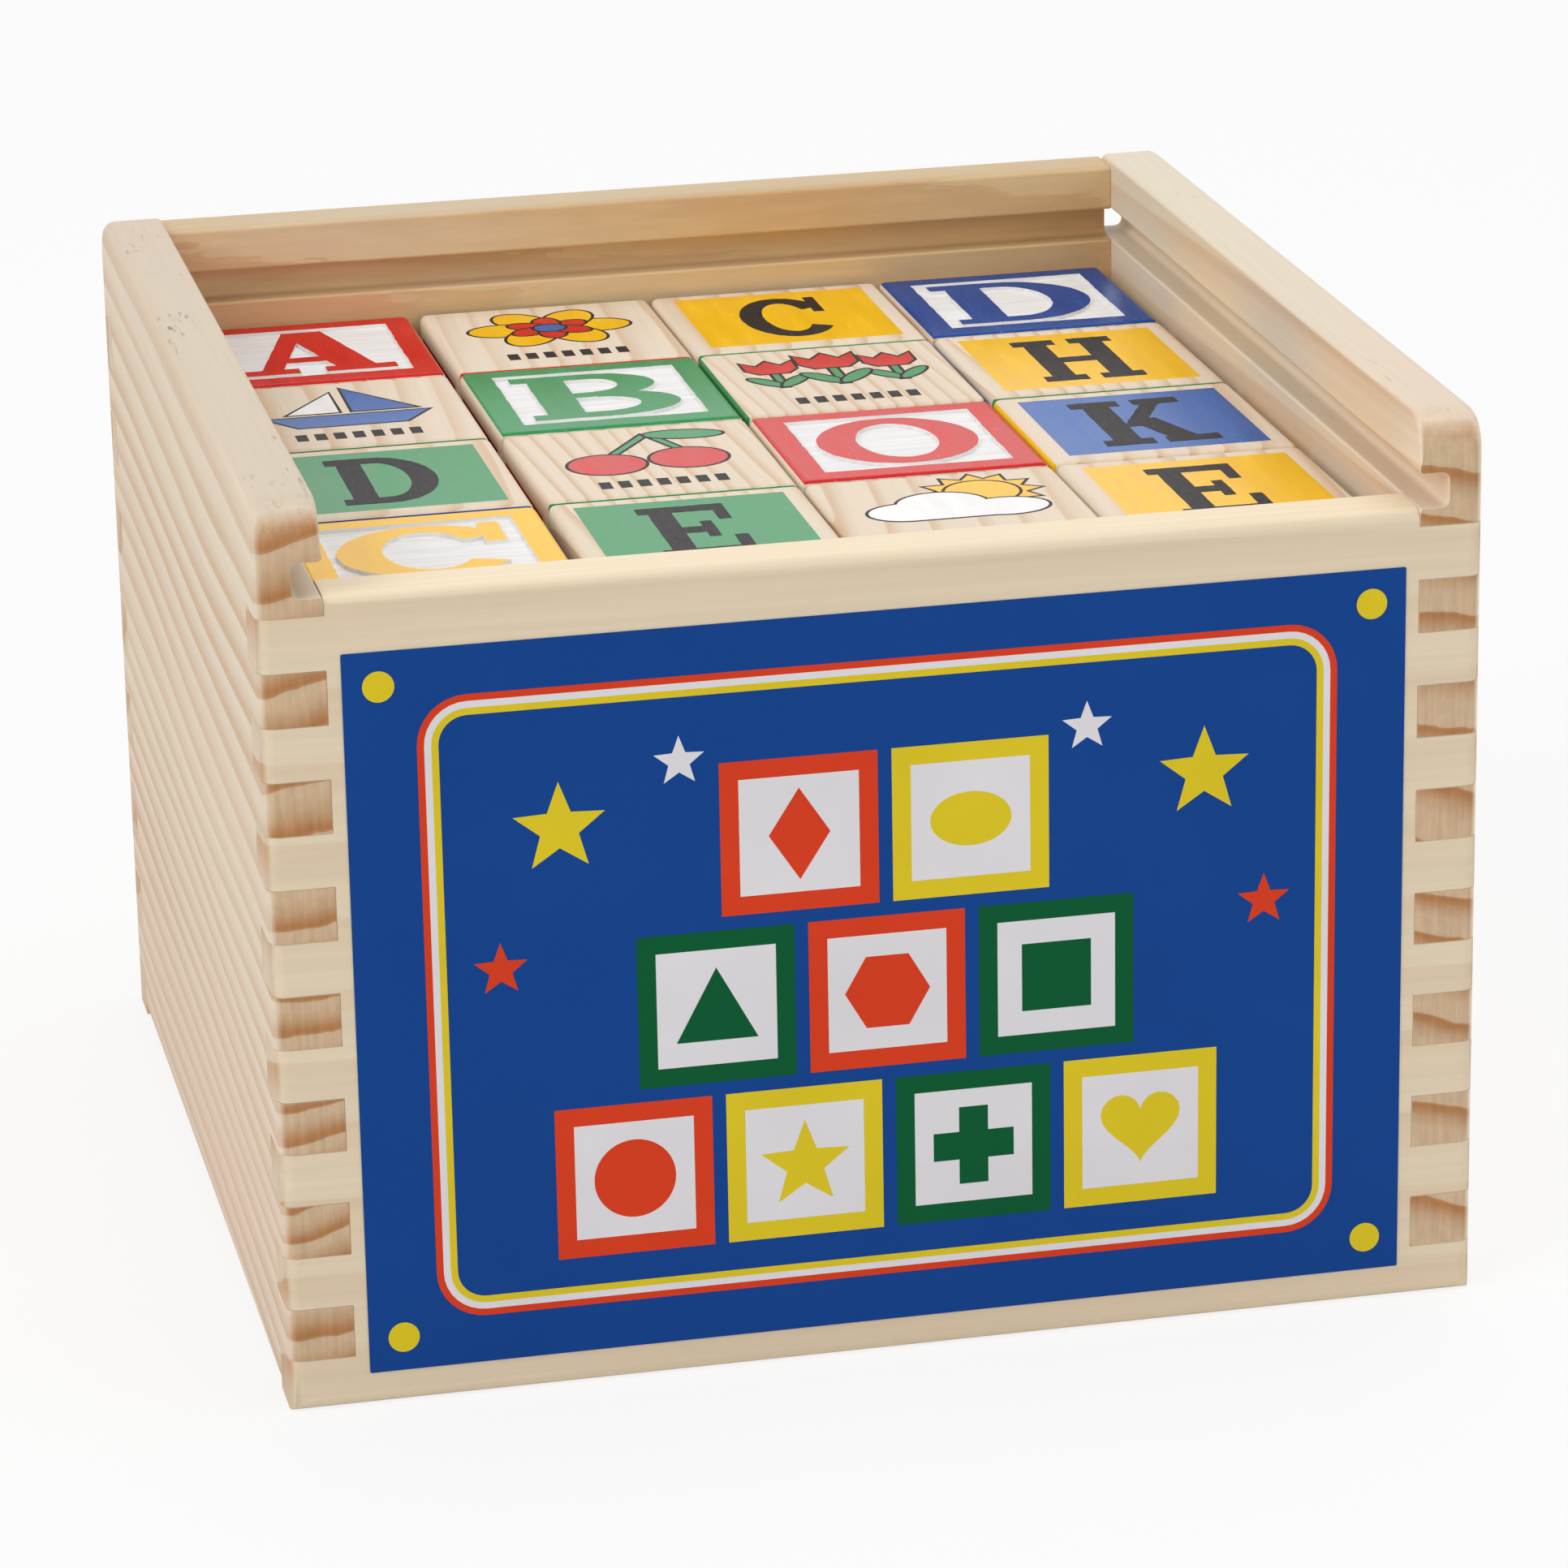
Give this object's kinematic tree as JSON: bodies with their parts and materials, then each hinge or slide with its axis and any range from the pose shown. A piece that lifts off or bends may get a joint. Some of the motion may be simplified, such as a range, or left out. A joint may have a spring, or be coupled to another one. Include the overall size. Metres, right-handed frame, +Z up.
{
  "type": "boxed wooden alphabet blocks",
  "caption": "Open pine box with finger-jointed corners and a sliding-lid groove, packed with layers of loose wooden letter blocks that lift out one by one.",
  "frame": {"origin": "middle of the box's underside", "axes": "+Z up out of the box's open top, -Y towards the labelled front, +X to the right seen from the front"},
  "size_m": [0.148, 0.1482, 0.113],
  "materials": {
    "pine": "bare sanded pine",
    "plywood": "bare plywood",
    "block_wood": "bare wood with painted and printed faces",
    "label_paper": "printed satin paper label"
  },
  "bodies": {
    "box": {"front_panel": "pine", "back_panel": "pine", "left_side": "pine", "right_side": "pine", "bottom_board": "plywood", "front_label": "label_paper"},
    "bottom_block_r1_c1": {"bottom_block_r1_c1": "block_wood"},
    "bottom_block_r1_c2": {"bottom_block_r1_c2": "block_wood"},
    "bottom_block_r1_c3": {"bottom_block_r1_c3": "block_wood"},
    "bottom_block_r1_c4": {"bottom_block_r1_c4": "block_wood"},
    "bottom_block_r2_c1": {"bottom_block_r2_c1": "block_wood"},
    "bottom_block_r2_c2": {"bottom_block_r2_c2": "block_wood"},
    "bottom_block_r2_c3": {"bottom_block_r2_c3": "block_wood"},
    "bottom_block_r2_c4": {"bottom_block_r2_c4": "block_wood"},
    "bottom_block_r3_c1": {"bottom_block_r3_c1": "block_wood"},
    "bottom_block_r3_c2": {"bottom_block_r3_c2": "block_wood"},
    "bottom_block_r3_c3": {"bottom_block_r3_c3": "block_wood"},
    "bottom_block_r3_c4": {"bottom_block_r3_c4": "block_wood"},
    "bottom_block_r4_c1": {"bottom_block_r4_c1": "block_wood"},
    "bottom_block_r4_c2": {"bottom_block_r4_c2": "block_wood"},
    "bottom_block_r4_c3": {"bottom_block_r4_c3": "block_wood"},
    "bottom_block_r4_c4": {"bottom_block_r4_c4": "block_wood"},
    "middle_block_r1_c1": {"middle_block_r1_c1": "block_wood"},
    "middle_block_r1_c2": {"middle_block_r1_c2": "block_wood"},
    "middle_block_r1_c3": {"middle_block_r1_c3": "block_wood"},
    "middle_block_r1_c4": {"middle_block_r1_c4": "block_wood"},
    "middle_block_r2_c1": {"middle_block_r2_c1": "block_wood"},
    "middle_block_r2_c2": {"middle_block_r2_c2": "block_wood"},
    "middle_block_r2_c3": {"middle_block_r2_c3": "block_wood"},
    "middle_block_r2_c4": {"middle_block_r2_c4": "block_wood"},
    "middle_block_r3_c1": {"middle_block_r3_c1": "block_wood"},
    "middle_block_r3_c2": {"middle_block_r3_c2": "block_wood"},
    "middle_block_r3_c3": {"middle_block_r3_c3": "block_wood"},
    "middle_block_r3_c4": {"middle_block_r3_c4": "block_wood"},
    "middle_block_r4_c1": {"middle_block_r4_c1": "block_wood"},
    "middle_block_r4_c2": {"middle_block_r4_c2": "block_wood"},
    "middle_block_r4_c3": {"middle_block_r4_c3": "block_wood"},
    "middle_block_r4_c4": {"middle_block_r4_c4": "block_wood"},
    "top_block_r1_c1": {"top_block_r1_c1": "block_wood"},
    "top_block_r1_c2": {"top_block_r1_c2": "block_wood"},
    "top_block_r1_c3": {"top_block_r1_c3": "block_wood"},
    "top_block_r1_c4": {"top_block_r1_c4": "block_wood"},
    "top_block_r2_c1": {"top_block_r2_c1": "block_wood"},
    "top_block_r2_c2": {"top_block_r2_c2": "block_wood"},
    "top_block_r2_c3": {"top_block_r2_c3": "block_wood"},
    "top_block_r2_c4": {"top_block_r2_c4": "block_wood"},
    "top_block_r3_c1": {"top_block_r3_c1": "block_wood"},
    "top_block_r3_c2": {"top_block_r3_c2": "block_wood"},
    "top_block_r3_c3": {"top_block_r3_c3": "block_wood"},
    "top_block_r3_c4": {"top_block_r3_c4": "block_wood"},
    "top_block_r4_c1": {"top_block_r4_c1": "block_wood"},
    "top_block_r4_c2": {"top_block_r4_c2": "block_wood"},
    "top_block_r4_c3": {"top_block_r4_c3": "block_wood"},
    "top_block_r4_c4": {"top_block_r4_c4": "block_wood"}
  },
  "joints": [
    {"name": "lift_bottom_r1_c1", "type": "slide", "parent": "box", "child": "bottom_block_r1_c1", "axis": [0, 0, 1], "range_m": [0, 0.113]},
    {"name": "lift_middle_r1_c1", "type": "slide", "parent": "bottom_block_r1_c1", "child": "middle_block_r1_c1", "axis": [0, 0, 1], "range_m": [0, 0.081]},
    {"name": "lift_top_r1_c1", "type": "slide", "parent": "middle_block_r1_c1", "child": "top_block_r1_c1", "axis": [0, 0, 1], "range_m": [0, 0.05]},
    {"name": "lift_bottom_r1_c2", "type": "slide", "parent": "box", "child": "bottom_block_r1_c2", "axis": [0, 0, 1], "range_m": [0, 0.113]},
    {"name": "lift_middle_r1_c2", "type": "slide", "parent": "bottom_block_r1_c2", "child": "middle_block_r1_c2", "axis": [0, 0, 1], "range_m": [0, 0.081]},
    {"name": "lift_top_r1_c2", "type": "slide", "parent": "middle_block_r1_c2", "child": "top_block_r1_c2", "axis": [0, 0, 1], "range_m": [0, 0.05]},
    {"name": "lift_bottom_r1_c3", "type": "slide", "parent": "box", "child": "bottom_block_r1_c3", "axis": [0, 0, 1], "range_m": [0, 0.113]},
    {"name": "lift_middle_r1_c3", "type": "slide", "parent": "bottom_block_r1_c3", "child": "middle_block_r1_c3", "axis": [0, 0, 1], "range_m": [0, 0.081]},
    {"name": "lift_top_r1_c3", "type": "slide", "parent": "middle_block_r1_c3", "child": "top_block_r1_c3", "axis": [0, 0, 1], "range_m": [0, 0.05]},
    {"name": "lift_bottom_r1_c4", "type": "slide", "parent": "box", "child": "bottom_block_r1_c4", "axis": [0, 0, 1], "range_m": [0, 0.113]},
    {"name": "lift_middle_r1_c4", "type": "slide", "parent": "bottom_block_r1_c4", "child": "middle_block_r1_c4", "axis": [0, 0, 1], "range_m": [0, 0.081]},
    {"name": "lift_top_r1_c4", "type": "slide", "parent": "middle_block_r1_c4", "child": "top_block_r1_c4", "axis": [0, 0, 1], "range_m": [0, 0.05]},
    {"name": "lift_bottom_r2_c1", "type": "slide", "parent": "box", "child": "bottom_block_r2_c1", "axis": [0, 0, 1], "range_m": [0, 0.113]},
    {"name": "lift_middle_r2_c1", "type": "slide", "parent": "bottom_block_r2_c1", "child": "middle_block_r2_c1", "axis": [0, 0, 1], "range_m": [0, 0.081]},
    {"name": "lift_top_r2_c1", "type": "slide", "parent": "middle_block_r2_c1", "child": "top_block_r2_c1", "axis": [0, 0, 1], "range_m": [0, 0.05]},
    {"name": "lift_bottom_r2_c2", "type": "slide", "parent": "box", "child": "bottom_block_r2_c2", "axis": [0, 0, 1], "range_m": [0, 0.113]},
    {"name": "lift_middle_r2_c2", "type": "slide", "parent": "bottom_block_r2_c2", "child": "middle_block_r2_c2", "axis": [0, 0, 1], "range_m": [0, 0.081]},
    {"name": "lift_top_r2_c2", "type": "slide", "parent": "middle_block_r2_c2", "child": "top_block_r2_c2", "axis": [0, 0, 1], "range_m": [0, 0.05]},
    {"name": "lift_bottom_r2_c3", "type": "slide", "parent": "box", "child": "bottom_block_r2_c3", "axis": [0, 0, 1], "range_m": [0, 0.113]},
    {"name": "lift_middle_r2_c3", "type": "slide", "parent": "bottom_block_r2_c3", "child": "middle_block_r2_c3", "axis": [0, 0, 1], "range_m": [0, 0.081]},
    {"name": "lift_top_r2_c3", "type": "slide", "parent": "middle_block_r2_c3", "child": "top_block_r2_c3", "axis": [0, 0, 1], "range_m": [0, 0.05]},
    {"name": "lift_bottom_r2_c4", "type": "slide", "parent": "box", "child": "bottom_block_r2_c4", "axis": [0, 0, 1], "range_m": [0, 0.113]},
    {"name": "lift_middle_r2_c4", "type": "slide", "parent": "bottom_block_r2_c4", "child": "middle_block_r2_c4", "axis": [0, 0, 1], "range_m": [0, 0.081]},
    {"name": "lift_top_r2_c4", "type": "slide", "parent": "middle_block_r2_c4", "child": "top_block_r2_c4", "axis": [0, 0, 1], "range_m": [0, 0.05]},
    {"name": "lift_bottom_r3_c1", "type": "slide", "parent": "box", "child": "bottom_block_r3_c1", "axis": [0, 0, 1], "range_m": [0, 0.113]},
    {"name": "lift_middle_r3_c1", "type": "slide", "parent": "bottom_block_r3_c1", "child": "middle_block_r3_c1", "axis": [0, 0, 1], "range_m": [0, 0.081]},
    {"name": "lift_top_r3_c1", "type": "slide", "parent": "middle_block_r3_c1", "child": "top_block_r3_c1", "axis": [0, 0, 1], "range_m": [0, 0.05]},
    {"name": "lift_bottom_r3_c2", "type": "slide", "parent": "box", "child": "bottom_block_r3_c2", "axis": [0, 0, 1], "range_m": [0, 0.113]},
    {"name": "lift_middle_r3_c2", "type": "slide", "parent": "bottom_block_r3_c2", "child": "middle_block_r3_c2", "axis": [0, 0, 1], "range_m": [0, 0.081]},
    {"name": "lift_top_r3_c2", "type": "slide", "parent": "middle_block_r3_c2", "child": "top_block_r3_c2", "axis": [0, 0, 1], "range_m": [0, 0.05]},
    {"name": "lift_bottom_r3_c3", "type": "slide", "parent": "box", "child": "bottom_block_r3_c3", "axis": [0, 0, 1], "range_m": [0, 0.113]},
    {"name": "lift_middle_r3_c3", "type": "slide", "parent": "bottom_block_r3_c3", "child": "middle_block_r3_c3", "axis": [0, 0, 1], "range_m": [0, 0.081]},
    {"name": "lift_top_r3_c3", "type": "slide", "parent": "middle_block_r3_c3", "child": "top_block_r3_c3", "axis": [0, 0, 1], "range_m": [0, 0.05]},
    {"name": "lift_bottom_r3_c4", "type": "slide", "parent": "box", "child": "bottom_block_r3_c4", "axis": [0, 0, 1], "range_m": [0, 0.113]},
    {"name": "lift_middle_r3_c4", "type": "slide", "parent": "bottom_block_r3_c4", "child": "middle_block_r3_c4", "axis": [0, 0, 1], "range_m": [0, 0.081]},
    {"name": "lift_top_r3_c4", "type": "slide", "parent": "middle_block_r3_c4", "child": "top_block_r3_c4", "axis": [0, 0, 1], "range_m": [0, 0.05]},
    {"name": "lift_bottom_r4_c1", "type": "slide", "parent": "box", "child": "bottom_block_r4_c1", "axis": [0, 0, 1], "range_m": [0, 0.113]},
    {"name": "lift_middle_r4_c1", "type": "slide", "parent": "bottom_block_r4_c1", "child": "middle_block_r4_c1", "axis": [0, 0, 1], "range_m": [0, 0.081]},
    {"name": "lift_top_r4_c1", "type": "slide", "parent": "middle_block_r4_c1", "child": "top_block_r4_c1", "axis": [0, 0, 1], "range_m": [0, 0.05]},
    {"name": "lift_bottom_r4_c2", "type": "slide", "parent": "box", "child": "bottom_block_r4_c2", "axis": [0, 0, 1], "range_m": [0, 0.113]},
    {"name": "lift_middle_r4_c2", "type": "slide", "parent": "bottom_block_r4_c2", "child": "middle_block_r4_c2", "axis": [0, 0, 1], "range_m": [0, 0.081]},
    {"name": "lift_top_r4_c2", "type": "slide", "parent": "middle_block_r4_c2", "child": "top_block_r4_c2", "axis": [0, 0, 1], "range_m": [0, 0.05]},
    {"name": "lift_bottom_r4_c3", "type": "slide", "parent": "box", "child": "bottom_block_r4_c3", "axis": [0, 0, 1], "range_m": [0, 0.113]},
    {"name": "lift_middle_r4_c3", "type": "slide", "parent": "bottom_block_r4_c3", "child": "middle_block_r4_c3", "axis": [0, 0, 1], "range_m": [0, 0.081]},
    {"name": "lift_top_r4_c3", "type": "slide", "parent": "middle_block_r4_c3", "child": "top_block_r4_c3", "axis": [0, 0, 1], "range_m": [0, 0.05]},
    {"name": "lift_bottom_r4_c4", "type": "slide", "parent": "box", "child": "bottom_block_r4_c4", "axis": [0, 0, 1], "range_m": [0, 0.113]},
    {"name": "lift_middle_r4_c4", "type": "slide", "parent": "bottom_block_r4_c4", "child": "middle_block_r4_c4", "axis": [0, 0, 1], "range_m": [0, 0.081]},
    {"name": "lift_top_r4_c4", "type": "slide", "parent": "middle_block_r4_c4", "child": "top_block_r4_c4", "axis": [0, 0, 1], "range_m": [0, 0.05]}
  ]
}
